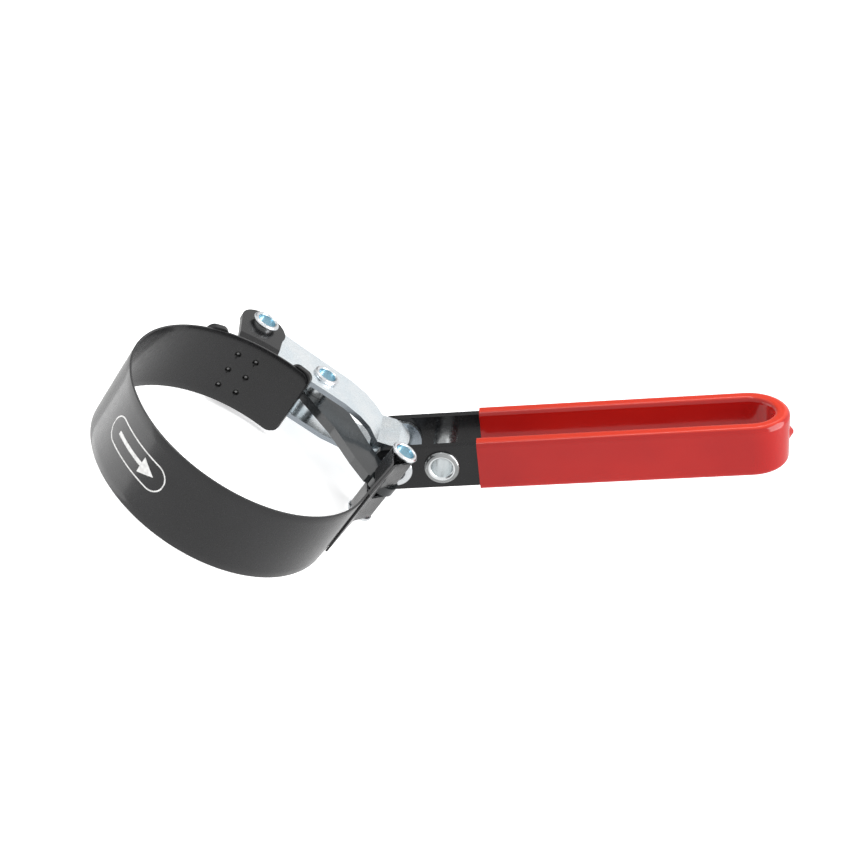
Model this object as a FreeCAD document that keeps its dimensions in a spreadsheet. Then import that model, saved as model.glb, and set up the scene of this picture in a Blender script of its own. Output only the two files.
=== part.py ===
"""Band-type oil filter wrench with a swivel handle, as a parametric FreeCAD document.

Millimetres.  The origin is the centre of the round band, +Z runs along the band's axis and +X
points from the band towards the handle.  The handle is drawn swung up out of the band's plane.
"""
import FreeCAD, Part
import math
import os

import Sketcher

V = FreeCAD.Vector
doc = FreeCAD.newDocument("oil_filter_wrench")

# ---------------------------------------------------------------- driving dimensions
DIMENSIONS = {
    # spring-steel band
    "band_radius": 45.0,
    "band_thickness": 0.8,
    "band_width": 29.0,
    "band_end_round": 4.0,
    "split_gap": 0.15,
    "free_end_angle": 72.3,
    "flap_length": 37.4,
    "strand_gap": 0.05,
    "loop_spread_angle": 22.0,
    "window_height": 5.6,
    # bracket staked to the band's free end
    "bracket_thickness": 2.0,
    "bracket_end_angle": 71.9,
    "bracket_start_angle": 126.2,
    "pad_inner_angle": 82.9,
    "pad_outer_angle": 115.4,
    "pad_top": 15.3,
    "pad_bottom": -14.0,
    "pad_round": 3.0,
    "ear_outer_height": 11.5,
    "ear_left": -18.2,
    "ear_root_left": -15.4,
    "ear_right": -0.6,
    "ear_root_right": 0.2,
    "ear_bend": 2.4,
    "ear_slope_angle": 17.0,
    "ear_flat_radius": 55.0,
    "stake_radius": 1.15,
    # pivots in the band's plane
    "anchor_x": -9.5,
    "anchor_y": 66.2,
    "link_x": 20.6,
    "link_y": 61.0,
    "loop_x": 55.9,
    "loop_y": 30.8,
    "swivel_x": 60.1,
    "swivel_y": 57.1,
    "swivel_angle": 39.7,
    # rivets that act as hinge pins
    "shank_radius": 3.9,
    "running_gap": 0.05,
    "flange_radius": 5.2,
    "flange_thickness": 1.2,
    "recess_radius": 3.5,
    "recess_depth": 2.2,
    "anchor_pin_half": 14.0,
    "link_pin_half": 10.5,
    "loop_pin_half": 16.3,
    # yoke
    "yoke_half_height": 9.3,
    "yoke_sheet": 2.0,
    "yoke_end_radius": 7.9,
    "tongue_width": 20.7,
    "ear_radius": 8.5,
    "spacer_radius": 4.9,
    "side_play": 0.1,
    # tension link
    "link_thickness": 3.7,
    "link_eye_radius": 5.8,
    "link_hole_radius": 4.7,
    # handle
    "bar_width": 17.5,
    "bar_thickness": 3.0,
    "bar_half_width": 13.5,
    "bar_nose": 7.0,
    "bar_nose_round": 4.0,
    "bend_centre": 133.5,
    "eyelet_pitch": 18.1,
    "eyelet_radius": 4.6,
    "eyelet_bore": 4.1,
    "handle_flange_radius": 6.75,
    "handle_flange_thickness": 1.3,
    # dipped grip
    "coat": 1.5,
    "grip_start": 32.0,
    "grip_edge_round": 2.2,
    "drip_radius": 3.7,
    "drip_length": 1.5,
}

dims = doc.addObject("Spreadsheet::Sheet", "dims")
for row, (alias, value) in enumerate(DIMENSIONS.items(), start=1):
    dims.set(f"A{row}", alias)
    dims.set(f"B{row}", str(value))
    dims.setAlias(f"B{row}", alias)
doc.recompute()


def size(alias):
    return float(dims.get(alias))


# ---------------------------------------------------------------- small helpers
def polar(radius, degrees, centre=(0.0, 0.0)):
    turn = math.radians(degrees)
    return (centre[0] + radius * math.cos(turn), centre[1] + radius * math.sin(turn))


def bind(thing, **expressions):
    for name, expression in expressions.items():
        thing.setExpression(name, expression)


def new_body(label):
    body = doc.addObject("PartDesign::Body", label)
    body.Label = label
    return body


def place(thing, x="0", y="0", z="0"):
    """Bind an object's position to sheet expressions."""
    for axis, expression in zip("xyz", (x, y, z)):
        thing.setExpression(f".Placement.Base.{axis}", expression)


def origin_plane(body, role):
    return next(f for f in body.Origin.OriginFeatures if f.Role == role)


def sketch_on(body, name, role="XY_Plane", height=None):
    sketch = body.newObject("Sketcher::SketchObject", name)
    sketch.AttachmentSupport = (origin_plane(body, role), [""])
    sketch.MapMode = "FlatFace"
    if height is not None:
        sketch.setExpression(".AttachmentOffset.Base.z", height)
    return sketch


def close(a, b):
    return (a - b).Length < 1e-6


def draw(sketch, start, path):
    """Draw a closed outline.  Each step is (end,) for a line, or (middle, end, radius expression)
    for an arc, whose radius is then bound to the sheet when an expression is given."""
    here = V(*start, 0)
    joints = []
    for step in path:
        end = V(*step[1 if len(step) > 1 else 0], 0)
        if len(step) == 1:
            index = sketch.addGeometry(Part.LineSegment(here, end), False)
        else:
            index = sketch.addGeometry(Part.Arc(here, V(*step[0], 0), end), False)
            if step[2]:
                radius = sketch.Geometry[index].Radius
                rule = sketch.addConstraint(Sketcher.Constraint("Radius", index, radius))
                sketch.setExpression(f"Constraints[{rule}]", step[2])
        forward = close(sketch.getPoint(index, 1), here)
        joints.append((index, 1 if forward else 2, 2 if forward else 1))
        here = end
    for one, two in zip(joints, joints[1:] + joints[:1]):
        sketch.addConstraint(Sketcher.Constraint("Coincident", one[0], one[2], two[0], two[1]))


def circle(sketch, centre, radius, expression):
    index = sketch.addGeometry(Part.Circle(V(*centre, 0), V(0, 0, 1), radius), False)
    rule = sketch.addConstraint(Sketcher.Constraint("Radius", index, radius))
    sketch.setExpression(f"Constraints[{rule}]", expression)


def pad(body, sketch, length, midplane=True):
    feature = body.newObject("PartDesign::Pad", sketch.Name + "_pad")
    feature.Profile = sketch
    feature.Midplane = midplane
    feature.setExpression("Length", length)
    return feature


def cut_through(body, sketch, length):
    feature = body.newObject("PartDesign::Pocket", sketch.Name + "_cut")
    feature.Profile = sketch
    feature.Midplane = True
    feature.setExpression("Length", length)
    return feature


def tube(label, outer, inner, length):
    """A plain sleeve, standing on its own origin along +Z."""
    wall = doc.addObject("Part::Cylinder", label + "_wall")
    bind(wall, Radius=outer, Height=length)
    bore = doc.addObject("Part::Cylinder", label + "_bore")
    bind(bore, Radius=inner, Height=length)
    sleeve = doc.addObject("Part::Cut", label)
    sleeve.Label = label
    sleeve.Base = wall
    sleeve.Tool = bore
    return sleeve


def sector(inner, outer, start_angle, end_angle, rules):
    """Start point and path of a flat ring sector, for draw()."""
    middle = (start_angle + end_angle) / 2
    path = [
        (polar(inner, middle), polar(inner, end_angle), rules[0]),
        (polar(outer, end_angle),),
        (polar(outer, middle), polar(outer, start_angle), rules[1]),
        (polar(inner, start_angle),),
    ]
    return polar(inner, start_angle), path


# ---------------------------------------------------------------- shared places
R_IN = size("band_radius")
R_OUT = R_IN + size("band_thickness")
ANCHOR = (size("anchor_x"), size("anchor_y"))
LINK = (size("link_x"), size("link_y"))
LOOP = (size("loop_x"), size("loop_y"))
SWIVEL = (size("swivel_x"), size("swivel_y"))
SHANK = size("shank_radius")
GAP = size("running_gap")
BACK_ANGLE = 180.0
TOP_OF_BAND = "dims.band_width"
THROUGH = "2 * dims.band_width"


# ---------------------------------------------------------------- band
def make_band_anchor_half():
    body = new_body("band_anchor_half")
    sketch = sketch_on(body, "anchor_half_outline")
    gap_angle = math.degrees(size("split_gap") / R_IN)
    rules = ("dims.band_radius", "dims.band_radius + dims.band_thickness")
    draw(sketch, *sector(R_IN, R_OUT, size("free_end_angle"), BACK_ANGLE - gap_angle, rules))
    strip = pad(body, sketch, TOP_OF_BAND)
    doc.recompute()
    corner = polar(R_IN, size("free_end_angle"))
    ends = [
        f"Edge{n}"
        for n, edge in enumerate(strip.Shape.Edges, start=1)
        if abs(edge.Length - size("band_thickness")) < 0.01
        and math.hypot(edge.CenterOfMass.x - corner[0], edge.CenterOfMass.y - corner[1]) < 1
    ]
    rounded = body.newObject("PartDesign::Fillet", "free_end_corners")
    rounded.Base = (strip, ends)
    bind(rounded, Radius="dims.band_end_round")
    return body


def tail_frame():
    """Directions along and across the straight tail of the band, which leaves the circle on a
    tangent and points at the loop pin."""
    axis_offset = R_OUT + size("strand_gap")
    reach = math.hypot(*LOOP)
    tangent_angle = math.atan2(LOOP[1], LOOP[0]) - math.acos(axis_offset / reach)
    along = (-math.sin(tangent_angle), math.cos(tangent_angle))
    across = (math.cos(tangent_angle), math.sin(tangent_angle))
    return math.degrees(tangent_angle), along, across


def on_tail(along_mm, across_mm):
    """A point given from the loop pin, along and across the tail."""
    _, along, across = tail_frame()
    return tuple(LOOP[i] + along_mm * along[i] + across_mm * across[i] for i in (0, 1))


def make_band_loop_half():
    """Half the circle, the straight tail, the loop round the pin and the flap folded back."""
    tangent_angle, _, _ = tail_frame()
    near = size("strand_gap")
    far = near + size("band_thickness")
    inner = SHANK
    outer = SHANK + size("band_thickness")
    spread = math.radians(size("loop_spread_angle"))
    start = BACK_ANGLE + math.degrees(size("split_gap") / R_IN)
    stop = 360.0 + tangent_angle
    middle = (start + stop) / 2

    def meets(radius, offset, side):
        """Where a spread strand leaves the straight, and where it touches the loop."""
        run = (radius * math.cos(spread) - offset) / math.sin(spread)
        bend = on_tail(-radius * math.sin(spread) - run * math.cos(spread), side * offset)
        touch = on_tail(-radius * math.sin(spread), side * radius * math.cos(spread))
        return bend, touch

    bend_a, touch_a = meets(outer, far, -1)
    bend_b, touch_b = meets(outer, far, 1)
    bend_c, touch_c = meets(inner, near, 1)
    bend_d, touch_d = meets(inner, near, -1)
    flap = -size("flap_length")
    path = [
        (polar(R_IN, middle), polar(R_IN, stop), "dims.band_radius"),
        (bend_a,),
        (touch_a,),
        (on_tail(outer, 0), touch_b, "dims.shank_radius + dims.band_thickness"),
        (bend_b,),
        (on_tail(flap, far),),
        (on_tail(flap, near),),
        (bend_c,),
        (touch_c,),
        (on_tail(inner, 0), touch_d, "dims.shank_radius"),
        (bend_d,),
        (polar(R_OUT, stop),),
        (polar(R_OUT, middle), polar(R_OUT, start), "dims.band_radius + dims.band_thickness"),
        (polar(R_IN, start),),
    ]
    body = new_body("band_loop_half")
    sketch = sketch_on(body, "loop_half_outline")
    draw(sketch, polar(R_IN, start), path)
    pad(body, sketch, TOP_OF_BAND)
    # the window that lets the link reach the pin through the middle of the loop
    window_below = -8.5
    window_above = 6.0
    window_side = 6.5
    window = sketch_on(body, "loop_window")
    corners = [
        on_tail(window_below, -window_side),
        on_tail(window_below, window_side),
        on_tail(window_above, window_side),
        on_tail(window_above, -window_side),
    ]
    draw(window, corners[0], [(p,) for p in corners[1:] + corners[:1]])
    cut_through(body, window, "dims.window_height")
    return body


# ---------------------------------------------------------------- bracket on the free end
def make_anchor_bracket():
    """A channel folded round the band's curve: two ears carry the anchor pin, and a wider pad at
    each end lies on the band."""
    seat = R_OUT
    sheet = size("bracket_thickness")
    skin = seat + sheet
    top = size("ear_outer_height")
    bend = size("ear_bend")
    slope = math.radians(size("ear_slope_angle"))
    flat = size("ear_flat_radius")
    beyond = 2 * R_IN
    # the ear leaves the web in a tight fold, slopes outwards, then runs flat under the pin
    rise = (flat - seat - bend + bend * math.sin(slope)) * math.tan(slope)
    fold = (seat + bend, top - rise - bend * math.cos(slope))

    def on_fold(radius, lean):
        return (fold[0] - radius * math.sin(lean), fold[1] + radius * math.cos(lean))

    halfway = (slope + math.pi / 2) / 2
    inner_bend = bend - sheet
    inner_flat = flat + sheet * math.tan(slope / 2)
    body = new_body("anchor_bracket")
    section = sketch_on(body, "channel_section", "XZ_Plane")
    upper = [
        (on_fold(bend, halfway), on_fold(bend, slope), "dims.ear_bend"),
        ((flat, top),),
        ((beyond, top),),
        ((beyond, top - sheet),),
        ((inner_flat, top - sheet),),
        (on_fold(inner_bend, slope),),
        (on_fold(inner_bend, halfway), (skin, fold[1]), "dims.ear_bend - dims.bracket_thickness"),
    ]

    def below(point):
        return (point[0], -point[1])

    lower = [
        ((skin, -fold[1]),),
        (below(on_fold(inner_bend, halfway)), below(on_fold(inner_bend, slope)), None),
        ((inner_flat, sheet - top),),
        ((beyond, sheet - top),),
        ((beyond, -top),),
        ((flat, -top),),
        (below(on_fold(bend, slope)),),
        (below(on_fold(bend, halfway)), (seat, -fold[1]), None),
        ((seat, fold[1]),),
    ]
    draw(section, (seat, fold[1]), upper + lower)
    channel = body.newObject("PartDesign::Revolution", "channel")
    channel.Profile = section
    channel.ReferenceAxis = (section, ["V_Axis"])
    channel.Angle = 360.0
    # everything outside this outline is trimmed away
    left, right = size("ear_left"), size("ear_right")
    first, last = size("bracket_end_angle"), size("bracket_start_angle")
    under = seat - 1.0
    root_x = size("ear_root_right"), size("ear_root_left")
    root_right, root_left = [(x, math.sqrt(skin**2 - x**2)) for x in root_x]
    angle_right = math.degrees(math.atan2(root_right[1], root_right[0]))
    angle_left = math.degrees(math.atan2(root_left[1], root_left[0]))
    trim = sketch_on(body, "bracket_trim")
    side = 3 * R_IN
    draw(trim, (-side, -side), [((side, -side),), ((side, side),), ((-side, side),), ((-side, -side),)])
    shoulder = ANCHOR[1] - 3.5
    outline = [
        (polar(skin, first),),
        (polar(skin, (first + angle_right) / 2), root_right, None),
        ((right, shoulder),),
        ((ANCHOR[0], ANCHOR[1] + (right - left) / 2), (left, shoulder), None),
        (root_left,),
        (polar(skin, (angle_left + last) / 2), polar(skin, last), None),
        (polar(under, last),),
        (polar(under, (first + last) / 2), polar(under, first), None),
    ]
    draw(trim, polar(under, first), outline)
    cut_through(body, trim, THROUGH)
    rules = ("dims.band_radius + dims.band_thickness", None)
    pads = (("bracket_end_angle", "pad_inner_angle"), ("pad_outer_angle", "bracket_start_angle"))
    for number, (begin, end) in enumerate(pads):
        sketch = sketch_on(body, f"bracket_pad_{number}", height="dims.pad_bottom")
        draw(sketch, *sector(seat, skin, size(begin), size(end), rules))
        pad(body, sketch, "dims.pad_top - dims.pad_bottom", midplane=False)
    hole = sketch_on(body, "bracket_hole")
    circle(hole, ANCHOR, SHANK, "dims.shank_radius")
    pierced = cut_through(body, hole, THROUGH)
    doc.recompute()
    corners = [
        f"Edge{n}"
        for n, edge in enumerate(pierced.Shape.Edges, start=1)
        if abs(edge.Length - sheet) < 1e-3
        and min(abs(edge.CenterOfMass.z - size(end)) for end in ("pad_top", "pad_bottom")) < 1e-3
    ]
    rounded = body.newObject("PartDesign::Fillet", "pad_corners")
    rounded.Base = (pierced, corners)
    bind(rounded, Radius="dims.pad_round")
    return body


def make_stake_rivets():
    """Six small rivets, three across the band and two along it, joining the band and bracket."""
    columns = (107.0, 97.7)
    rows = (7.6, 0.0, -7.6)
    rivets = []
    for column, angle in enumerate(columns):
        for row, height in enumerate(rows):
            rivet = doc.addObject("Part::Cylinder", f"stake_{column}_{row}")
            bind(rivet, Radius="dims.stake_radius",
                 Height="dims.band_thickness + dims.bracket_thickness + 0.2")
            x, y = polar(R_IN + 0.02, angle)
            turn = FreeCAD.Rotation(V(0, 0, 1), V(*polar(1.0, angle), 0))
            rivet.Placement = FreeCAD.Placement(V(x, y, height), turn)
            rivets.append(rivet)
    group = doc.addObject("Part::Compound", "stake_rivets")
    group.Label = "stake_rivets"
    group.Links = rivets
    return group


# ---------------------------------------------------------------- rivets
def make_rivet(label, half, shank, flange, thickness, recess, depth):
    """A rivet with a rolled flange and a recess at each end, turned about its own Z axis."""
    body = new_body(label)
    half_mm, shank_mm, flange_mm = size(half), size(shank), size(flange)
    thick_mm, recess_mm, depth_mm = size(thickness), size(recess), size(depth)
    crown = 0.22
    lip = half_mm - 0.45 * thick_mm
    seat = half_mm - thick_mm
    floor = half_mm - depth_mm
    wall_top = half_mm - 0.2
    ridge = ((recess_mm + flange_mm) / 2, half_mm + crown)
    upper = [
        ((shank_mm, seat),),
        ((flange_mm - 0.25, seat),),
        ((flange_mm, lip),),
        (ridge, (recess_mm, wall_top), None),
        ((recess_mm, floor),),
        ((0.0, floor),),
    ]
    lower = [
        ((0.0, -floor),),
        ((recess_mm, -floor),),
        ((recess_mm, -wall_top),),
        ((ridge[0], -ridge[1]), (flange_mm, -lip), None),
        ((flange_mm - 0.25, -seat),),
        ((shank_mm, -seat),),
    ]
    sketch = sketch_on(body, label + "_section", "XZ_Plane")
    draw(sketch, (shank_mm, -seat), upper + lower)
    turned = body.newObject("PartDesign::Revolution", label + "_turned")
    turned.Profile = sketch
    turned.ReferenceAxis = (sketch, ["V_Axis"])
    turned.Angle = 360.0
    return body


def make_band_pins():
    for label, half, x, y in (
        ("anchor_pin", "anchor_pin_half", "dims.anchor_x", "dims.anchor_y"),
        ("link_pin", "link_pin_half", "dims.link_x", "dims.link_y"),
        ("loop_pin", "loop_pin_half", "dims.loop_x", "dims.loop_y"),
    ):
        pin = make_rivet(label, half, "shank_radius", "flange_radius", "flange_thickness",
                         "recess_radius", "recess_depth")
        place(pin, x, y)
        yield pin


# ---------------------------------------------------------------- yoke
def yoke_profile():
    """Top line of the yoke sheet seen from the side: (x, z) from the anchor end to the tongue."""
    return [(-22.0, 9.3), (31.0, 9.3), (38.5, 8.3), (44.2, 6.6), (48.7, 4.7), (56.5, 7.0), (60.8, 7.4)]


def make_yoke_half(label, side):
    """One sheet of the yoke.  side is +1 above the band's middle plane and -1 below it."""
    sheet = size("yoke_sheet")
    top = [(x, side * z) for x, z in yoke_profile()]
    under = [(x, side * (z - sheet)) for x, z in yoke_profile()]
    profile = new_body(label + "_profile")
    section = sketch_on(profile, label + "_section", "XZ_Plane", height=None)
    draw(section, top[0], [(p,) for p in top[1:] + under[::-1] + top[:1]])
    pad(profile, section, "6 * dims.band_width")
    plan = new_body(label + "_plan")
    outline = sketch_on(plan, label + "_outline")
    end = size("yoke_end_radius")
    lean = 98.5
    half_tongue = size("tongue_width") / 2
    far_y = SWIVEL[1] + half_tongue
    near_y = SWIVEL[1] - half_tongue
    start = polar(end, lean, ANCHOR)
    path = [
        ((28.0, 69.8),),
        ((43.5, 68.4),),
        ((48.7, far_y),),
        ((57.0, far_y),),
        ((60.6, SWIVEL[1]), (57.6, near_y), None),
        ((48.7, near_y),),
        ((43.5, 50.0),),
        ((31.0, 50.6),),
        ((15.0, 51.6),),
        (polar(end, lean + 155, ANCHOR),),
        (polar(end, lean + 80, ANCHOR), start, "dims.yoke_end_radius"),
    ]
    draw(outline, start, path)
    pad(plan, outline, THROUGH)
    blank = doc.addObject("Part::Common", label + "_sheet")
    blank.Base = profile
    blank.Tool = plan
    ear = new_body(label + "_ear")
    ear_sketch = sketch_on(ear, label + "_ear_outline", "XZ_Plane")
    radius = size("ear_radius")
    reach = radius + 2.0
    ear_path = [
        ((SWIVEL[0] - 3.6, side * 7.0),),
        (polar(radius, side * 100, (SWIVEL[0], 0.0)),),
        (polar(radius, 0, (SWIVEL[0], 0.0)), polar(radius, -side * 80, (SWIVEL[0], 0.0)),
         "dims.ear_radius"),
        ((SWIVEL[0] + 1.4, -side * 4.5),),
        ((SWIVEL[0] - 4.0, -side * 4.3),),
        ((SWIVEL[0] - reach, 0.0),),
        ((SWIVEL[0] - reach, side * 4.4),),
    ]
    draw(ear_sketch, (SWIVEL[0] - reach, side * 4.4), ear_path)
    pad(ear, ear_sketch, "dims.yoke_sheet")
    ear.setExpression(
        ".Placement.Base.y",
        f"dims.swivel_y + {side} * (dims.tongue_width - dims.yoke_sheet) / 2",
    )
    whole = doc.addObject("Part::MultiFuse", label + "_blank")
    whole.Shapes = [blank, ear]
    drills = []
    for name, x, y, extra in (
        ("anchor", "dims.anchor_x", "dims.anchor_y", " + dims.running_gap"),
        ("link", "dims.link_x", "dims.link_y", ""),
    ):
        drill = doc.addObject("Part::Cylinder", f"{label}_{name}_drill")
        bind(drill, Radius="dims.shank_radius" + extra, Height=THROUGH)
        place(drill, x, y, "-dims.band_width")
        drills.append(drill)
    cross = doc.addObject("Part::Cylinder", f"{label}_swivel_drill")
    bind(cross, Radius="dims.shank_radius + dims.running_gap", Height=THROUGH)
    cross.Placement = FreeCAD.Placement(V(0, 0, 0), FreeCAD.Rotation(V(1, 0, 0), -90))
    place(cross, "dims.swivel_x", "dims.swivel_y - dims.band_width", "0")
    drills.append(cross)
    tools = doc.addObject("Part::MultiFuse", label + "_drills")
    tools.Shapes = drills
    half = doc.addObject("Part::Cut", label)
    half.Label = label
    half.Base = whole
    half.Tool = tools
    return half


def make_spacers():
    """Sleeves that keep the yoke sheets, the link and the tongue's ears apart on their pins."""
    bore = "dims.shank_radius + dims.running_gap"
    outer = "dims.spacer_radius"
    inside = "dims.yoke_half_height - dims.yoke_sheet"
    anchor = tube("anchor_spacer", outer, bore, f"2 * ({inside} - dims.side_play)")
    place(anchor, "dims.anchor_x", "dims.anchor_y", f"-({inside} - dims.side_play)")
    room = f"({inside} - dims.link_thickness / 2 - dims.side_play)"
    upper = tube("link_spacer_upper", outer, bore, room)
    place(upper, "dims.link_x", "dims.link_y", "dims.link_thickness / 2 + dims.side_play")
    lower = tube("link_spacer_lower", outer, bore, room)
    place(lower, "dims.link_x", "dims.link_y", f"-({inside})")
    across = "dims.tongue_width - 2 * dims.yoke_sheet - 2 * dims.side_play"
    swivel = tube("swivel_spacer", outer, bore, across)
    swivel.Placement = FreeCAD.Placement(V(0, 0, 0), FreeCAD.Rotation(V(1, 0, 0), -90))
    place(swivel, "dims.swivel_x", f"dims.swivel_y - ({across}) / 2", "0")
    return [anchor, upper, lower, swivel]


# ---------------------------------------------------------------- link
def make_tension_link():
    """Flat bar from the yoke to the loop pin, waisted on the handle's side to clear the legs."""
    body = new_body("tension_link")
    sketch = sketch_on(body, "link_outline")
    eye = size("link_eye_radius")
    slope = math.degrees(math.atan2(LOOP[1] - LINK[1], LOOP[0] - LINK[0]))
    left, right = slope - 90, slope + 90
    path = [
        ((31.9, 44.0),),
        ((42.6, 32.9),),
        ((49.4, 27.2),),
        (polar(eye, left - 12, LOOP),),
        (polar(eye, slope, LOOP), polar(eye, right, LOOP), "dims.link_eye_radius"),
        ((52.2, 41.4),),
        ((46.4, 47.6),),
        ((40.9, 54.2),),
        ((35.4, 60.3),),
        (polar(eye + 1.4, right - 22, LINK),),
        (polar(eye + 1.4, slope + 180, LINK), polar(eye + 1.4, left, LINK), None),
    ]
    draw(sketch, polar(eye + 1.4, left, LINK), path)
    pad(body, sketch, "dims.link_thickness")
    loop_hole = sketch_on(body, "link_loop_hole")
    circle(loop_hole, LOOP, SHANK + GAP, "dims.shank_radius + dims.running_gap")
    cut_through(body, loop_hole, THROUGH)
    yoke_hole = sketch_on(body, "link_yoke_hole")
    circle(yoke_hole, LINK, size("link_hole_radius"), "dims.link_hole_radius")
    cut_through(body, yoke_hole, THROUGH)
    return body


# ---------------------------------------------------------------- handle
def hairpin(first, inner, outer, centre, rules):
    """Start point and path of a hairpin: two legs from x = first round a half circle."""
    path = [
        ((centre, -outer),),
        ((centre + outer, 0.0), (centre, outer), rules[0]),
        ((first, outer),),
        ((first, inner),),
        ((centre, inner),),
        ((centre + inner, 0.0), (centre, -inner), rules[1]),
        ((first, -inner),),
        ((first, -outer),),
    ]
    return (first, -outer), path


def swing(thing):
    """Put a piece drawn along +X at the swivel, swung up by the swivel angle."""
    thing.Placement = FreeCAD.Placement(V(*SWIVEL, 0), FreeCAD.Rotation(V(0, -1, 0), size("swivel_angle")))
    thing.setExpression(".Placement.Base.x", "dims.swivel_x")
    thing.setExpression(".Placement.Base.y", "dims.swivel_y")
    thing.setExpression(".Placement.Rotation.Angle", "dims.swivel_angle * 1 deg")


def make_handle_bar():
    body = new_body("handle_bar")
    outer = size("bar_half_width")
    inner = outer - size("bar_thickness")
    sketch = sketch_on(body, "bar_outline")
    rules = ("dims.bar_half_width", "dims.bar_half_width - dims.bar_thickness")
    draw(sketch, *hairpin(-size("bar_nose"), inner, outer, size("bend_centre"), rules))
    bent = pad(body, sketch, "dims.bar_width")
    doc.recompute()
    noses = [
        f"Edge{n}"
        for n, edge in enumerate(bent.Shape.Edges, start=1)
        if abs(edge.CenterOfMass.x + size("bar_nose")) < 1e-3
        and abs(edge.Length - size("bar_thickness")) < 1e-3
    ]
    rounded = body.newObject("PartDesign::Fillet", "bar_noses")
    rounded.Base = (bent, noses)
    bind(rounded, Radius="dims.bar_nose_round")
    holes = sketch_on(body, "bar_holes", "XZ_Plane")
    circle(holes, (0.0, 0.0), SHANK, "dims.shank_radius")
    circle(holes, (size("eyelet_pitch"), 0.0), size("eyelet_radius"), "dims.eyelet_radius")
    cut_through(body, holes, THROUGH)
    swing(body)
    return body


def make_grip(bar):
    """Vinyl dipped over the bend and most of both legs, with the small drip left at the end."""
    coat = size("coat")
    outer = size("bar_half_width") + coat
    inner = size("bar_half_width") - size("bar_thickness") - coat
    body = new_body("grip_skin")
    sketch = sketch_on(body, "grip_outline")
    rules = ("dims.bar_half_width + dims.coat",
             "dims.bar_half_width - dims.bar_thickness - dims.coat")
    draw(sketch, *hairpin(size("grip_start"), inner, outer, size("bend_centre"), rules))
    dipped = pad(body, sketch, "dims.bar_width + 2 * dims.coat")
    doc.recompute()
    edge_height = size("bar_width") / 2 + coat
    rims = [
        f"Edge{n}"
        for n, edge in enumerate(dipped.Shape.Edges, start=1)
        if abs(abs(edge.CenterOfMass.z) - edge_height) < 1e-3
        and edge.CenterOfMass.x > size("grip_start") + 1
    ]
    soft = body.newObject("PartDesign::Fillet", "grip_rims")
    soft.Base = (dipped, rims)
    bind(soft, Radius="dims.grip_edge_round")
    swing(body)
    drip = doc.addObject("Part::Cone", "drip")
    bind(drip, Radius1="dims.drip_radius", Radius2="dims.drip_radius / 5",
         Height="dims.drip_length + dims.coat / 2")
    turn = FreeCAD.Rotation(V(0, 1, 0), 90 - size("swivel_angle"))
    tip = turn.multVec(V(0, 0, size("bend_centre") + outer - coat / 2))
    drip.Placement = FreeCAD.Placement(V(*SWIVEL, 0) + tip, turn)
    coated = doc.addObject("Part::Fuse", "grip_coated")
    coated.Base = body
    coated.Tool = drip
    grip = doc.addObject("Part::Cut", "grip")
    grip.Label = "grip"
    grip.Base = coated
    grip.Tool = bar
    return grip


def make_handle_rivets():
    """The swivel pin and the hollow eyelet, both lying across the legs."""
    half = size("bar_half_width") + size("handle_flange_thickness")
    pin = new_body("swivel_pin")
    flange, thick = size("handle_flange_radius"), size("handle_flange_thickness")
    recess, depth = size("recess_radius"), size("recess_depth")
    seat = half - thick
    outline = [
        ((SHANK, seat),),
        ((flange - 0.3, seat),),
        ((flange, half - 0.55 * thick),),
        (((recess + flange) / 2, half + 0.1), (recess, half - 0.4), None),
        ((recess, half - depth),),
        ((0.0, half - depth),),
        ((0.0, -half + depth),),
        ((recess, -half + depth),),
        ((recess, -half + 0.4),),
        (((recess + flange) / 2, -half - 0.1), (flange, -half + 0.55 * thick), None),
        ((flange - 0.3, -seat),),
        ((SHANK, -seat),),
    ]
    section = sketch_on(pin, "swivel_section", "XZ_Plane")
    draw(section, (SHANK, -seat), outline)
    eyelet = new_body("hanging_eyelet")
    wall, bore = size("eyelet_radius"), size("eyelet_bore")
    ring = [
        ((wall, seat),),
        ((flange - 0.3, seat),),
        ((flange, half - 0.55 * thick),),
        (((bore + flange) / 2 + 0.3, half + 0.1), (bore, half - 0.5), None),
        ((bore, -half + 0.5),),
        (((bore + flange) / 2 + 0.3, -half - 0.1), (flange, -half + 0.55 * thick), None),
        ((flange - 0.3, -seat),),
        ((wall, -seat),),
    ]
    rim = sketch_on(eyelet, "eyelet_section", "XZ_Plane")
    draw(rim, (wall, -seat), ring)
    for body, sketch in ((pin, section), (eyelet, rim)):
        turned = body.newObject("PartDesign::Revolution", sketch.Name + "_turned")
        turned.Profile = sketch
        turned.ReferenceAxis = (sketch, ["V_Axis"])
        turned.Angle = 360.0
        body.Placement = FreeCAD.Placement(V(0, 0, 0), FreeCAD.Rotation(V(1, 0, 0), 90))
    place(pin, "dims.swivel_x", "dims.swivel_y")
    place(eyelet,
          "dims.swivel_x + dims.eyelet_pitch * cos(dims.swivel_angle * 1 deg)",
          "dims.swivel_y",
          "dims.eyelet_pitch * sin(dims.swivel_angle * 1 deg)")
    return [pin, eyelet]


# ---------------------------------------------------------------- build, check and write
def build():
    parts = [make_band_anchor_half(), make_band_loop_half(), make_anchor_bracket(),
             make_stake_rivets()]
    parts += list(make_band_pins())
    parts += [make_yoke_half("yoke_upper", 1), make_yoke_half("yoke_lower", -1)]
    parts += make_spacers()
    parts.append(make_tension_link())
    bar = make_handle_bar()
    parts.append(bar)
    parts.append(make_grip(bar))
    parts += make_handle_rivets()
    doc.recompute()
    return parts


def check(parts):
    broken = [o.Name for o in doc.Objects if {"Invalid", "Error"} & set(o.State)]
    if broken:
        raise RuntimeError(f"failed features: {broken}")
    for part in parts:
        shape = part.Shape
        if shape.isNull() or not shape.isValid() or not shape.Solids:
            raise RuntimeError(f"{part.Label} has no valid solid")


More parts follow.
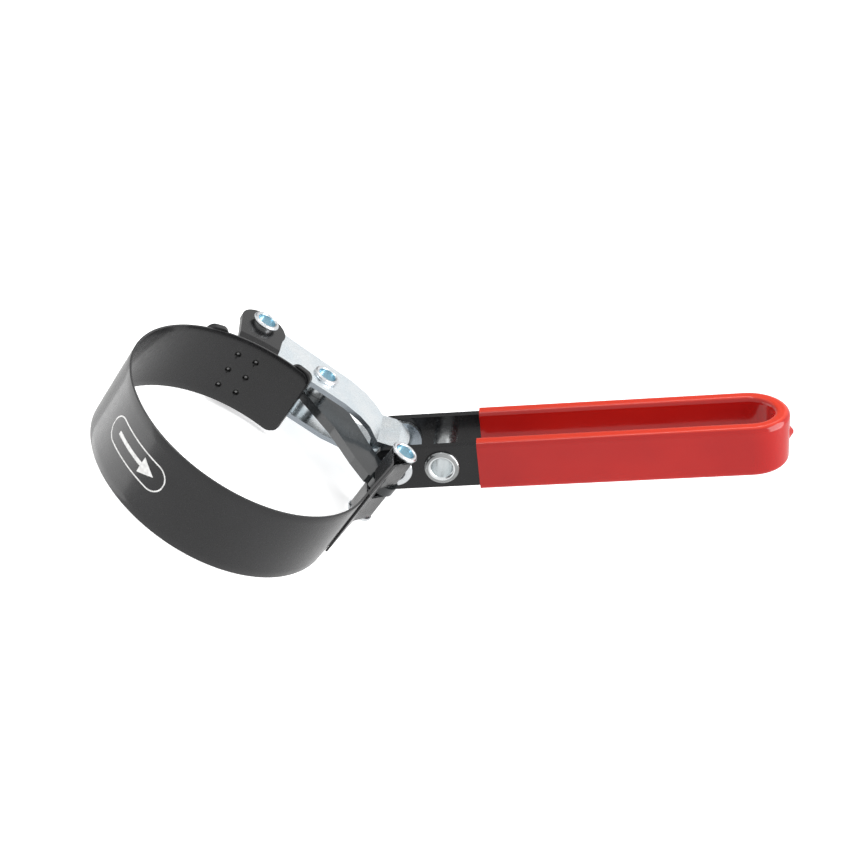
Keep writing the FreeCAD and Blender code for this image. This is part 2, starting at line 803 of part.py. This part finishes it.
def write(parts):
    os.makedirs("parts", exist_ok=True)
    for part in parts:
        part.Shape.exportStep(f"parts/{part.Label}.step")
        box = part.Shape.BoundBox
        print(f"{part.Label:20s} solids {len(part.Shape.Solids)}  volume {part.Shape.Volume:9.1f}"
              f"  x {box.XMin:7.1f} {box.XMax:7.1f}  y {box.YMin:7.1f} {box.YMax:7.1f}"
              f"  z {box.ZMin:7.1f} {box.ZMax:7.1f}")


PARTS = build()
check(PARTS)
write(PARTS)
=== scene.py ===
import math

import bmesh
import bpy
from mathutils import Matrix, Vector


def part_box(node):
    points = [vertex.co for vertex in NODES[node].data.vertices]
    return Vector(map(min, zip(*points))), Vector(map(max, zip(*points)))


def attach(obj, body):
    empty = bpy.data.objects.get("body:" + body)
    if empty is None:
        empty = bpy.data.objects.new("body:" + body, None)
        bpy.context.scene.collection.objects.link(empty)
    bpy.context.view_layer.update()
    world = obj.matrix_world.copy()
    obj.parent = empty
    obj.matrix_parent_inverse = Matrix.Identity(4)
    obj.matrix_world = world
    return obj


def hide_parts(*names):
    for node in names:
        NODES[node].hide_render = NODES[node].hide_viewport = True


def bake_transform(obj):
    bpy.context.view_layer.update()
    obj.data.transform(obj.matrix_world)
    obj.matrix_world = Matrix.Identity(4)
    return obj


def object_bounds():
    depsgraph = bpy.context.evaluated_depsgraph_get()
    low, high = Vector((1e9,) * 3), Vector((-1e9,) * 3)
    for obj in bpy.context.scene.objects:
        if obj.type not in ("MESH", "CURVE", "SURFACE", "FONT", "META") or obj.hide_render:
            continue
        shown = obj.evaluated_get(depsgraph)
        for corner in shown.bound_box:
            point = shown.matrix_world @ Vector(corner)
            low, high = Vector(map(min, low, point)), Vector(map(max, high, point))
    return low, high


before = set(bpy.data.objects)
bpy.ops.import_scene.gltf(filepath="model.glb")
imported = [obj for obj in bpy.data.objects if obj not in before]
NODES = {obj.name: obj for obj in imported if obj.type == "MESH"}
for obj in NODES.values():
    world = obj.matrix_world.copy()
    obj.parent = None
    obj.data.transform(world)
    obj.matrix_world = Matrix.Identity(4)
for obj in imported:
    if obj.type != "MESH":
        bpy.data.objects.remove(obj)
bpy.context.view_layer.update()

MM = 0.001


# ------------------------------------------------------------------ places read from the frame
def centre(node):
    low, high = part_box(node)
    return (low + high) / 2


LOOP = centre("loop_pin")
BAND_LOW, BAND_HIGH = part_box("band_loop_half")
HALF_WIDTH = BAND_HIGH.z
SHEET = 0.8 * MM
HANDLE_TURN = math.radians(39.7)
NARROW_SIDE = (-math.sin(HANDLE_TURN), 0.0, math.cos(HANDLE_TURN))
R_OUT = -BAND_LOW.x
R_MID = R_OUT - SHEET / 2
R_IN = R_OUT - SHEET


# ------------------------------------------------------------------ materials
def new_material(name):
    material = bpy.data.materials.new(name)
    material.use_nodes = True
    tree = material.node_tree
    shader = tree.nodes["Principled BSDF"]
    return material, tree, shader


def noise(tree, scale, detail=4.0, rough=0.5, stretch=None):
    coords = tree.nodes.new("ShaderNodeTexCoord")
    texture = tree.nodes.new("ShaderNodeTexNoise")
    texture.inputs["Scale"].default_value = scale
    texture.inputs["Detail"].default_value = detail
    texture.inputs["Roughness"].default_value = rough
    if stretch:
        mapping = tree.nodes.new("ShaderNodeMapping")
        mapping.inputs["Scale"].default_value = stretch
        tree.links.new(coords.outputs["Object"], mapping.inputs["Vector"])
        tree.links.new(mapping.outputs["Vector"], texture.inputs["Vector"])
    else:
        tree.links.new(coords.outputs["Object"], texture.inputs["Vector"])
    return texture.outputs["Fac"]


def ramp(tree, factor, stops):
    node = tree.nodes.new("ShaderNodeValToRGB")
    elements = node.color_ramp.elements
    while len(elements) < len(stops):
        elements.new(0.5)
    for element, (position, colour) in zip(elements, stops):
        element.position = position
        element.color = (*colour, 1.0) if len(colour) == 3 else colour
    tree.links.new(factor, node.inputs["Fac"])
    return node.outputs["Color"]


def remap(tree, factor, low, high, start=0.3, stop=0.7):
    node = tree.nodes.new("ShaderNodeMapRange")
    node.inputs["From Min"].default_value = start
    node.inputs["From Max"].default_value = stop
    node.inputs["To Min"].default_value = low
    node.inputs["To Max"].default_value = high
    tree.links.new(factor, node.inputs["Value"])
    return node.outputs["Result"]


def bump(tree, height, strength, distance, previous=None):
    node = tree.nodes.new("ShaderNodeBump")
    node.inputs["Strength"].default_value = strength
    node.inputs["Distance"].default_value = distance
    tree.links.new(height, node.inputs["Height"])
    if previous:
        tree.links.new(previous, node.inputs["Normal"])
    return node.outputs["Normal"]


def mix_colour(tree, factor, one, two):
    node = tree.nodes.new("ShaderNodeMix")
    node.data_type = "RGBA"
    tree.links.new(factor, node.inputs["Factor"])
    for socket, value in ((node.inputs[6], one), (node.inputs[7], two)):
        if isinstance(value, tuple):
            socket.default_value = (*value, 1.0)
        else:
            tree.links.new(value, socket)
    return node.outputs[2]


def black_paint(name, dark, light, roughness, coat, gloss):
    """Baked black enamel on steel: a broad drift in tone, a fine orange peel and a finer grain."""
    material, tree, shader = new_material(name)
    broad = noise(tree, 60, 3)
    fine = noise(tree, 420, 2)
    grain = noise(tree, 2600, 2)
    shade = ramp(tree, broad, [(0.3, dark), (0.75, light)])
    tree.links.new(shade, shader.inputs["Base Color"])
    rough = remap(tree, fine, roughness - 0.04, roughness + 0.05)
    tree.links.new(rough, shader.inputs["Roughness"])
    shader.inputs["Specular IOR Level"].default_value = gloss
    shader.inputs["Coat Weight"].default_value = coat
    shader.inputs["Coat Roughness"].default_value = 0.10
    first = bump(tree, grain, 0.03, 0.00004)
    tree.links.new(bump(tree, fine, 0.05, 0.00008, first), shader.inputs["Normal"])
    return material


def zinc_plate(name, tint_one, tint_two, roughness, well=None, dull_edges_painted_dark=False):
    """Bright zinc with the faint blue passivation of plated steel, and a rolled-sheet grain.
    well is (centre, axis, radius, colour) of a rivet's recess, which has its own colour, or of the
    eyelet's tube and bore, whose colour is a painted highlight.
    Faces that look along Y, the cut edges on the sheet's near and far sides, are painted darker:
    partly the duller cut edge, partly a painted dark reflection."""
    material, tree, shader = new_material(name)
    cloud = noise(tree, 130, 4, 0.55)
    speck = noise(tree, 1500, 3)
    grain = noise(tree, 600, 3, 0.6, (1.0, 7.0, 7.0))
    colour = ramp(tree, cloud, [(0.35, tint_one), (0.65, tint_two)])
    dull = remap(tree, speck, 0.0, 0.18, 0.55, 0.8)
    colour = mix_colour(tree, dull, colour, (0.52, 0.55, 0.58))
    if well:
        *place, inside = well
        colour = mix_colour(tree, near_axis(tree, *place), colour, inside)
    if dull_edges_painted_dark:
        # painted reflection: the Y-facing cut edges turn dark grey, partly for the duller cut edge
        edge_dull_and_painted_dark = facing(tree, (0.0, 1.0, 0.0), 0.55, 0.75)
        colour = mix_colour(tree, edge_dull_and_painted_dark, colour, (0.38, 0.42, 0.46))
    tree.links.new(colour, shader.inputs["Base Color"])
    shader.inputs["Metallic"].default_value = 1.0
    rough = remap(tree, grain, roughness - 0.05, roughness + 0.08)
    tree.links.new(rough, shader.inputs["Roughness"])
    first = bump(tree, grain, 0.06, 0.00004)
    tree.links.new(bump(tree, cloud, 0.03, 0.0002, first), shader.inputs["Normal"])
    return material


def near_axis(tree, middle, axis, radius):
    """Mask that is 1 within radius of a line through middle along Z, or along Y."""
    coords = tree.nodes.new("ShaderNodeTexCoord")
    shift = tree.nodes.new("ShaderNodeVectorMath")
    shift.operation = "SUBTRACT"
    shift.inputs[1].default_value = middle
    tree.links.new(coords.outputs["Object"], shift.inputs[0])
    flatten = tree.nodes.new("ShaderNodeVectorMath")
    flatten.operation = "MULTIPLY"
    flatten.inputs[1].default_value = (1.0, 1.0, 0.0) if axis == "Z" else (1.0, 0.0, 1.0)
    tree.links.new(shift.outputs["Vector"], flatten.inputs[0])
    length = tree.nodes.new("ShaderNodeVectorMath")
    length.operation = "LENGTH"
    tree.links.new(flatten.outputs["Vector"], length.inputs[0])
    return remap(tree, length.outputs["Value"], 1.0, 0.0, radius, radius + 0.0002)


def facing(tree, axis, start, stop):
    """Mask that is 1 on faces that look along axis, either way."""
    coords = tree.nodes.new("ShaderNodeTexCoord")
    along = tree.nodes.new("ShaderNodeVectorMath")
    along.operation = "DOT_PRODUCT"
    along.inputs[1].default_value = axis
    tree.links.new(coords.outputs["Normal"], along.inputs[0])
    size = tree.nodes.new("ShaderNodeMath")
    size.operation = "ABSOLUTE"
    tree.links.new(along.outputs["Value"], size.inputs[0])
    return remap(tree, size.outputs["Value"], 0.0, 1.0, start, stop)


def dipped_vinyl(name):
    """Glossy red vinyl, with painted light: a lighter orange red on both of the bar's narrow sides,
    where the upper edges catch the overhead light.
    """
    material, tree, shader = new_material(name)
    broad = noise(tree, 30, 2)
    peel = noise(tree, 140, 2)
    pores = noise(tree, 1500, 2)
    colour = ramp(tree, broad, [(0.3, (0.33, 0.006, 0.005)), (0.7, (0.38, 0.009, 0.006))])
    # painted light: the narrow sides, upper and lower, turn a lighter orange red
    narrow_side_painted_light = facing(tree, NARROW_SIDE, 0.72, 0.96)
    colour = mix_colour(tree, narrow_side_painted_light, colour, (0.60, 0.032, 0.011))
    tree.links.new(colour, shader.inputs["Base Color"])
    tree.links.new(remap(tree, peel, 0.08, 0.13), shader.inputs["Roughness"])
    first = bump(tree, pores, 0.02, 0.00003)
    tree.links.new(bump(tree, peel, 0.04, 0.0004, first), shader.inputs["Normal"])
    return material


def painted_pit_shade_and_highlight(material):
    """Painted shade on each pit's walls and a painted highlight at its bottom, by the depth that
    press_pits keeps.
    """
    tree = material.node_tree
    shader = tree.nodes["Principled BSDF"]
    depth = tree.nodes.new("ShaderNodeAttribute")
    depth.attribute_name = "pit"
    off, on = (0, 0, 0), (1, 1, 1)
    # painted shade: the pit walls turn black and fully metallic, so they show no reflection
    pit_wall_painted_shade = ramp(tree, depth.outputs["Fac"], [(0.02, off), (0.12, on), (0.55, on), (0.7, off)])
    # painted highlight: a light grey spot at the bottom of each pit
    spot = remap(tree, depth.outputs["Fac"], 0.0, 1.0, 0.58, 0.72)
    enamel = shader.inputs["Base Color"].links[0].from_socket
    colour = mix_colour(tree, pit_wall_painted_shade, enamel, (0.001, 0.001, 0.001))
    colour = mix_colour(tree, spot, colour, (0.16, 0.16, 0.16))
    tree.links.new(colour, shader.inputs["Base Color"])
    tree.links.new(pit_wall_painted_shade, shader.inputs["Metallic"])


STRAP_PAINT = black_paint(
    "strap_paint", (0.006, 0.006, 0.0065), (0.009, 0.009, 0.010), 0.26, 0.35, 0.45)
# painted shade on the strap's pit walls and a painted highlight in each pit
painted_pit_shade_and_highlight(STRAP_PAINT)
BLACK_PAINT = black_paint(
    "black_paint", (0.003, 0.003, 0.0035), (0.006, 0.006, 0.0065), 0.24, 0.2, 0.42)
ZINC = zinc_plate("zinc", (0.83, 0.89, 0.92), (0.92, 0.95, 0.96), 0.28)
# zinc whose Y-facing cut edges are painted dark, partly as a painted reflection
ZINC_EDGES_PAINTED_DARK = zinc_plate("zinc_edges_painted_dark", (0.83, 0.90, 0.94), (0.92, 0.96, 0.98), 0.26, dull_edges_painted_dark=True)
BLUE = (0.53, 0.70, 0.78)
# painted highlight: the eyelet's tube and bore, near white all round
TUBE_PAINTED_HIGHLIGHT = (0.90, 0.93, 0.94)
RIVETS = {
    name: zinc_plate(name + "_zinc", (0.74, 0.77, 0.80), (0.86, 0.88, 0.90), 0.22,
                     (tuple(centre(name)), axis, 3.52 * MM, BLUE))
    for name, axis in (("anchor_pin", "Z"), ("link_pin", "Z"), ("loop_pin", "Z"), ("swivel_pin", "Y"))
}
# the eyelet's tube and bore, within 4.95 mm of its axis, carry the painted highlight
EYELET = zinc_plate("eyelet_zinc", (0.30, 0.31, 0.31), (0.46, 0.47, 0.47), 0.22,
                    (tuple(centre("hanging_eyelet")), "Y", 4.95 * MM, TUBE_PAINTED_HIGHLIGHT))
LINK_PAINT = black_paint(
    "link_paint", (0.010, 0.012, 0.013), (0.022, 0.025, 0.027), 0.22, 0.5, 0.5)
VINYL = dipped_vinyl("dipped_vinyl")

FINISH = {
    "anchor_bracket": BLACK_PAINT,
    "hanging_eyelet": EYELET,
    **RIVETS,
    "yoke_upper": ZINC_EDGES_PAINTED_DARK,
    "yoke_lower": ZINC_EDGES_PAINTED_DARK,
    "anchor_spacer": ZINC,
    "link_spacer_upper": ZINC,
    "link_spacer_lower": ZINC,
    "swivel_spacer": ZINC,
    "tension_link": LINK_PAINT,
    "handle_bar": BLACK_PAINT,
    "grip": VINYL,
}
# bevel widths in millimetres
EDGE = {
    "handle_bar": 0.25,
    "tension_link": 0.2,
    "yoke_upper": 0.2,
    "yoke_lower": 0.2,
    "anchor_bracket": 0.2,
}
CAD_SHARP_ANGLE = math.radians(32)


def paint(piece, material):
    piece.data.materials.clear()
    piece.data.materials.append(material)


def soften(piece, width):
    bevel = piece.modifiers.new("edges", "BEVEL")
    bevel.width = width * MM
    bevel.segments = 2
    bevel.limit_method = "ANGLE"
    bevel.angle_limit = math.radians(40)
    bevel.harden_normals = True


for name, material in FINISH.items():
    paint(NODES[name], material)
    if name in EDGE:
        soften(NODES[name], EDGE[name])
    else:
        NODES[name].data.shade_smooth()
        NODES[name].data.set_sharp_from_angle(angle=CAD_SHARP_ANGLE)


# ------------------------------------------------------------------ the strap
def polar(radius, degrees):
    turn = math.radians(degrees)
    return Vector((radius * math.cos(turn), radius * math.sin(turn)))


def tail_frame():
    """The straight tail leaves the round on a tangent and points at the loop pin."""
    reach = LOOP.to_2d().length
    turn = math.atan2(LOOP.y, LOOP.x) - math.acos((R_OUT + 0.05 * MM) / reach)
    along = Vector((-math.sin(turn), math.cos(turn)))
    across = Vector((math.cos(turn), math.sin(turn)))
    return math.degrees(turn), along, across


TANGENT, ALONG, ACROSS = tail_frame()


def on_tail(along_mm, across_mm):
    return LOOP.to_2d() + ALONG * along_mm * MM + ACROSS * across_mm * MM


def arc_points(middle, radius, start, end, steps):
    return [middle + polar(radius, start + (end - start) * i / steps) for i in range(steps + 1)]


# in degrees round the strap, and in millimetres along the tail from the loop pin
FREE_END = 72.3
TAIL_STATIONS = (-34, -28, -22, -17)
FOLD_END = -37.4
LOOP_PIN_RADIUS = 3.9
HALF_SHEET = 0.4


def strap_path():
    """Middle line of the strip from its free end, round the back, along the tail, round the
    loop pin and back down the outside of the tail."""
    points = arc_points(Vector((0, 0)), R_MID, FREE_END, 360 + TANGENT, 190)
    loop_radius = LOOP_PIN_RADIUS + HALF_SHEET
    half_gap = 0.45
    ease, rise = 0.8, 0.33
    spread = math.radians(22)
    run = (loop_radius * math.cos(spread) - half_gap) / math.sin(spread)
    lead = -loop_radius * math.sin(spread) - run * math.cos(spread)
    heading = math.degrees(math.atan2(ALONG.y, ALONG.x))
    middle = LOOP.to_2d()
    sweep = 90 + math.degrees(spread)
    inner_run = [on_tail(x, -half_gap) for x in TAIL_STATIONS]
    inner_run += [on_tail(lead - ease, -half_gap), on_tail(lead + ease, -half_gap - rise)]
    wrap = arc_points(middle, loop_radius * MM, heading + sweep, heading - sweep, 40)
    outer_run = [on_tail(lead + ease, half_gap + rise), on_tail(lead - ease, half_gap)]
    outer_run += [on_tail(x, half_gap) for x in (*reversed(TAIL_STATIONS), FOLD_END)]
    return points + inner_run + wrap + outer_run


STAKE_ANGLES = (107.0, 97.7)
STAKE_HEIGHTS = (7.6 * MM, 0.0, -7.6 * MM)
STAKES = [(angle, height) for angle in STAKE_ANGLES for height in STAKE_HEIGHTS]
PIT_RADIUS = 1.3 * MM
PIT_DEPTH = 0.5 * MM
PIT_STEP = 0.12 * MM
PIT_BAND = 1.35 * MM


def round_pits(middles):
    """Closely spaced values across each of the pits centred on middles."""
    count = round(PIT_BAND / PIT_STEP)
    return [middle + PIT_STEP * i for middle in middles for i in range(-count, count + 1)]


def refine(path):
    """Extra stations across the pits, so that they are round."""
    added = [run / R_MID for run in round_pits([math.radians(a) * R_MID for a in STAKE_ANGLES])]
    low, high = min(added), max(added)
    turns = [math.atan2(p.y, p.x) for p in path]
    first = next(i for i, turn in enumerate(turns) if turn > low - 0.01)
    last = next(i for i, turn in enumerate(turns) if turn > high + 0.01)
    kept = [turn for turn in turns[first:last] if min(abs(turn - a) for a in added) > 0.005]
    between = sorted(added + kept)
    return path[:first] + [polar(R_MID, math.degrees(turn)) for turn in between] + path[last:]


WINDOW_HALF_HEIGHT = 2.8 * MM
WINDOW_REACH = 8.5 * MM
WINDOW_START = -8.2 * MM


def strip_mesh(name, path, half_width, corner, window):
    """A thin strip along path, with rounded corners at its first end, and a window at the loop."""
    mesh = bmesh.new()
    lengths = [0.0]
    for a, b in zip(path, path[1:]):
        lengths.append(lengths[-1] + (b - a).length)
    levels = [-half_width, -11.5 * MM, -4.5 * MM, -WINDOW_HALF_HEIGHT]
    levels = sorted(levels + [-z for z in levels] + round_pits(STAKE_HEIGHTS))
    grid = []
    for point, run in zip(path, lengths):
        top = half_width
        if run < corner:
            top = half_width - corner + math.sqrt(max(corner**2 - (corner - run) ** 2, 0.0))
        grid.append([mesh.verts.new((point.x, point.y, z * top / half_width)) for z in levels])
    for i in range(len(path) - 1):
        for k in range(len(levels) - 1):
            if window(i) and abs(levels[k] + levels[k + 1]) < 2 * WINDOW_HALF_HEIGHT:
                continue
            mesh.faces.new((grid[i][k], grid[i + 1][k], grid[i + 1][k + 1], grid[i][k + 1]))
    return object_from(name, mesh)


def applied(piece):
    """Bake the modifiers into the mesh."""
    graph = bpy.context.evaluated_depsgraph_get()
    data = bpy.data.meshes.new_from_object(piece.evaluated_get(graph))
    piece.modifiers.clear()
    piece.data = data
    return piece


def refine_corner(path, corner):
    """Extra stations near the free end so that its corners are round."""
    start = path[0]
    extra = []
    for share in (0.02, 0.06, 0.12, 0.2, 0.3, 0.42, 0.56, 0.7, 0.85):
        turn = math.degrees(corner * share / R_MID)
        extra.append(polar(R_MID, FREE_END + turn))
    tail = [p for p in path[1:] if (p - start).length > corner * 0.95]
    return [start] + extra + tail


def press_pits(strap):
    """Six round pits in the strap's inside, where the stakes are pressed through.  The depth is
    kept with the mesh, for the painted shade on their walls and the painted highlight at their
    bottoms."""
    depth = strap.data.attributes.new("pit", "FLOAT", "POINT")
    for vert in strap.data.vertices:
        here = vert.co.to_2d()
        if here.length > R_MID:
            continue
        for angle, height in STAKES:
            middle = polar(R_IN, angle).to_3d() + Vector((0, 0, height))
            share = (vert.co - middle).length / PIT_RADIUS
            if share < 1:
                push = here.normalized() * PIT_DEPTH * (1 - share**2)
                vert.co += push.to_3d()
                depth.data[vert.index].value = 1 - share
                break


def make_strap():
    corner = 4 * MM
    path = refine(refine_corner(strap_path(), corner))

    def in_window(i):
        mid = (path[i] + path[i + 1]) / 2 - LOOP.to_2d()
        return mid.length < WINDOW_REACH and mid.dot(ALONG) > WINDOW_START

    strap = strip_mesh("strap", path, HALF_WIDTH, corner, in_window)
    solid = strap.modifiers.new("sheet", "SOLIDIFY")
    solid.thickness = SHEET
    solid.offset = 0.0
    solid.use_even_offset = True
    bevel = strap.modifiers.new("edges", "BEVEL")
    bevel.width = 0.14 * MM
    bevel.segments = 2
    bevel.limit_method = "ANGLE"
    bevel.angle_limit = math.radians(50)
    applied(strap)
    press_pits(strap)
    strap.data.shade_smooth()
    strap.data.set_sharp_from_angle(angle=math.radians(35))
    paint(strap, STRAP_PAINT)
    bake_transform(strap)
    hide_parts("band_anchor_half", "band_loop_half")
    return strap


def add_ball(mesh, place, radius, squash, outward):
    """A small ball, flattened along outward."""
    made = bmesh.ops.create_uvsphere(mesh, u_segments=24, v_segments=12, radius=radius)["verts"]
    turn = outward.to_track_quat("Z", "Y").to_matrix().to_4x4()
    squeeze = Matrix.Diagonal((1.0, 1.0, squash, 1.0))
    bmesh.ops.transform(mesh, matrix=turn @ squeeze, verts=made)
    bmesh.ops.translate(mesh, vec=place, verts=made)


def object_from(name, mesh):
    data = bpy.data.meshes.new(name)
    mesh.to_mesh(data)
    mesh.free()
    piece = bpy.data.objects.new(name, data)
    bpy.context.scene.collection.objects.link(piece)
    return piece


def make_stakes():
    """The pressed-through ends of the stakes, seen as low bumps on the bracket's outside."""
    bracket_sheet, bump_radius, flatness = 2 * MM, 1.2 * MM, 0.16
    skin = R_OUT + bracket_sheet
    mesh = bmesh.new()
    for angle, height in STAKES:
        out = polar(1.0, angle).to_3d()
        place = out * skin + Vector((0, 0, height))
        add_ball(mesh, place, bump_radius, flatness, out)
    stakes = object_from("stakes", mesh)
    stakes.data.shade_smooth()
    paint(stakes, BLACK_PAINT)
    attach(stakes, "band")
    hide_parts("stake_rivets")


STRAP = make_strap()
make_stakes()


# ------------------------------------------------------------------ a plain printed mark
def capsule(run, half_length, half_height):
    """Half height of a capsule at run from its middle."""
    over = abs(run) - (half_length - half_height)
    if over <= 0:
        return half_height
    return math.sqrt(max(half_height**2 - over**2, 0.0))


def arrow(run):
    """Half height of a plain arrow at run from its middle."""
    tail, neck, tip = -9.5, 4.5, 10.5
    half_shaft, half_head = 0.75, 3.1
    if run < tail or run > tip:
        return None
    return half_shaft if run < neck else half_head * (tip - run) / (tip - neck)


def make_mark():
    """A turning arrow in a capsule, printed in white on the outside of the strap."""
    middle_angle, middle_z = 231.0, 1.4
    half_length, half_height, stroke = 15.0, 5.0, 0.5
    steps = 240
    runs = [-half_length + 2 * half_length * i / steps for i in range(steps + 1)]
    mesh = bmesh.new()

    def put(run, z):
        turn = middle_angle + math.degrees(run * MM / R_OUT)
        spot = polar(R_OUT + 0.02 * MM, turn)
        return mesh.verts.new((spot.x, spot.y, (middle_z + z) * MM))

    def fill(low, high):
        """Quads between two outlines, each a function of run, where high is above low."""
        last = None
        for run in runs:
            bottom, top = low(run), high(run)
            here = None
            if bottom is not None and top - bottom > 1e-4:
                here = (put(run, bottom), put(run, top))
            if here and last:
                mesh.faces.new((last[0], here[0], here[1], last[1]))
            last = here

    def inner(run):
        if abs(run) > half_length - stroke:
            return 0.0
        return capsule(run, half_length - stroke, half_height - stroke)

    fill(inner, lambda run: capsule(run, half_length, half_height))
    fill(lambda run: -capsule(run, half_length, half_height), lambda run: -inner(run))
    fill(lambda run: None if arrow(run) is None else -arrow(run), lambda run: arrow(run) or 0.0)
    mark = object_from("mark", mesh)
    film = mark.modifiers.new("film", "SOLIDIFY")
    film.thickness = 0.03 * MM
    film.offset = 0.0
    applied(mark)
    material, tree, shader = new_material("printed_white")
    ink = noise(tree, 700, 3)
    colour = ramp(tree, ink, [(0.35, (0.62, 0.62, 0.61)), (0.6, (0.78, 0.78, 0.77))])
    tree.links.new(colour, shader.inputs["Base Color"])
    tree.links.new(remap(tree, ink, 0.4, 0.55), shader.inputs["Roughness"])
    paint(mark, material)
    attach(mark, "band_tail")


make_mark()


# ------------------------------------------------------------------ floor, light and camera
def make_floor():
    low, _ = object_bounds()
    bpy.ops.mesh.primitive_plane_add(size=60, location=(0, 0, low.z - 0.0002))
    floor = bpy.context.object
    floor.name = "floor"
    material, tree, shader = new_material("floor_white")
    colour = ramp(tree, noise(tree, 3, 2), [(0.2, (0.86, 0.86, 0.86)), (0.8, (0.88, 0.88, 0.88))])
    tree.links.new(colour, shader.inputs["Base Color"])
    shader.inputs["Roughness"].default_value = 0.9
    shader.inputs["Emission Color"].default_value = (1.0, 1.0, 1.0, 1.0)
    shader.inputs["Emission Strength"].default_value = 0.52
    paint(floor, material)
    # the soft light also reaches the object from low on its left, as it does from a light table
    floor.visible_glossy = False
    floor.visible_shadow = False


RIGHT = Vector((0.83056, 0.07987, 0.55118))
DOWN = Vector((0.51429, -0.48979, -0.70400))
FORWARD = Vector((0.21373, 0.86818, -0.44787))
EYE = Vector((-43.1, -369.8, 236.3)) * MM


def make_camera():
    data = bpy.data.cameras.new("camera")
    data.sensor_width = 36.0
    data.lens = 54.186
    data.clip_start, data.clip_end = 0.01, 50
    camera = bpy.data.objects.new("camera", data)
    turn = Matrix((RIGHT, -DOWN, -FORWARD)).transposed().to_4x4()
    camera.matrix_world = Matrix.Translation(EYE) @ turn
    bpy.context.scene.collection.objects.link(camera)
    bpy.context.scene.camera = camera


def softbox(name, place, target, size, power):
    data = bpy.data.lights.new(name, "AREA")
    data.shape = "RECTANGLE"
    data.size, data.size_y = size
    data.energy = power
    lamp = bpy.data.objects.new(name, data)
    lamp.location = place
    lamp.rotation_mode = "QUATERNION"
    lamp.rotation_quaternion = (Vector(target) - Vector(place)).to_track_quat("-Z", "Y")
    bpy.context.scene.collection.objects.link(lamp)
    return lamp


MIDDLE = Vector((0.06, 0.02, 0.03))


def from_camera(right, up, back):
    """A place given along the camera's own axes from the object's middle."""
    return MIDDLE + RIGHT * right - DOWN * up - FORWARD * back


def make_light():
    # the overhead light is too broad to show in the zinc, so only the strip makes highlights
    overhead = softbox("overhead", from_camera(0.1, 0.95, 0.26), MIDDLE, (1.3, 0.9), 4.8)
    overhead.visible_glossy = False
    softbox("strip", from_camera(0.08, 0.72, 0.16), MIDDLE, (1.1, 0.07), 0.8)
    softbox("left", from_camera(-0.86, 0.1, -0.12), (0.0, 0.0, 0.0), (0.95, 0.6), 2.6)
    softbox("right", from_camera(0.40, 0.05, 0.13), MIDDLE, (0.3, 0.5), 2.0)
    bpy.context.scene.world = make_world()


def choose(tree, switch, off, on):
    """off where switch is 0 and on where it is 1; each is a number or a socket."""
    node = tree.nodes.new("ShaderNodeMix")
    tree.links.new(switch, node.inputs["Factor"])
    for socket, value in ((node.inputs["A"], off), (node.inputs["B"], on)):
        if isinstance(value, float):
            socket.default_value = value
        else:
            tree.links.new(value, socket)
    return node.outputs["Result"]


def make_world():
    """A white room with a dark flag behind the object, which deepens the red of the grip's upper
    edges and the black of the bar's.  The flag shows in reflections only."""
    world = bpy.data.worlds.new("studio")
    world.use_nodes = True
    tree = world.node_tree
    coords = tree.nodes.new("ShaderNodeTexCoord")
    toward = tree.nodes.new("ShaderNodeVectorMath")
    toward.operation = "DOT_PRODUCT"
    toward.inputs[1].default_value = Vector((-0.403, 0.868, 0.294)).normalized()
    tree.links.new(coords.outputs["Generated"], toward.inputs[0])
    sky, white, fill, flag = 1.0, 0.86, 0.58, 0.30
    rim, core = math.cos(math.radians(27)), math.cos(math.radians(13))
    room = remap(tree, toward.outputs["Value"], white, flag, rim, core)
    path = tree.nodes.new("ShaderNodeLightPath")
    strength = choose(tree, path.outputs["Is Glossy Ray"], sky, room)
    strength = choose(tree, path.outputs["Is Diffuse Ray"], strength, fill)
    tree.links.new(strength, tree.nodes["Background"].inputs["Strength"])
    tree.nodes["Background"].inputs["Color"].default_value = (1.0, 1.0, 1.0, 1.0)
    return world


make_floor()
make_camera()
make_light()
bpy.context.scene.view_settings.view_transform = "Standard"
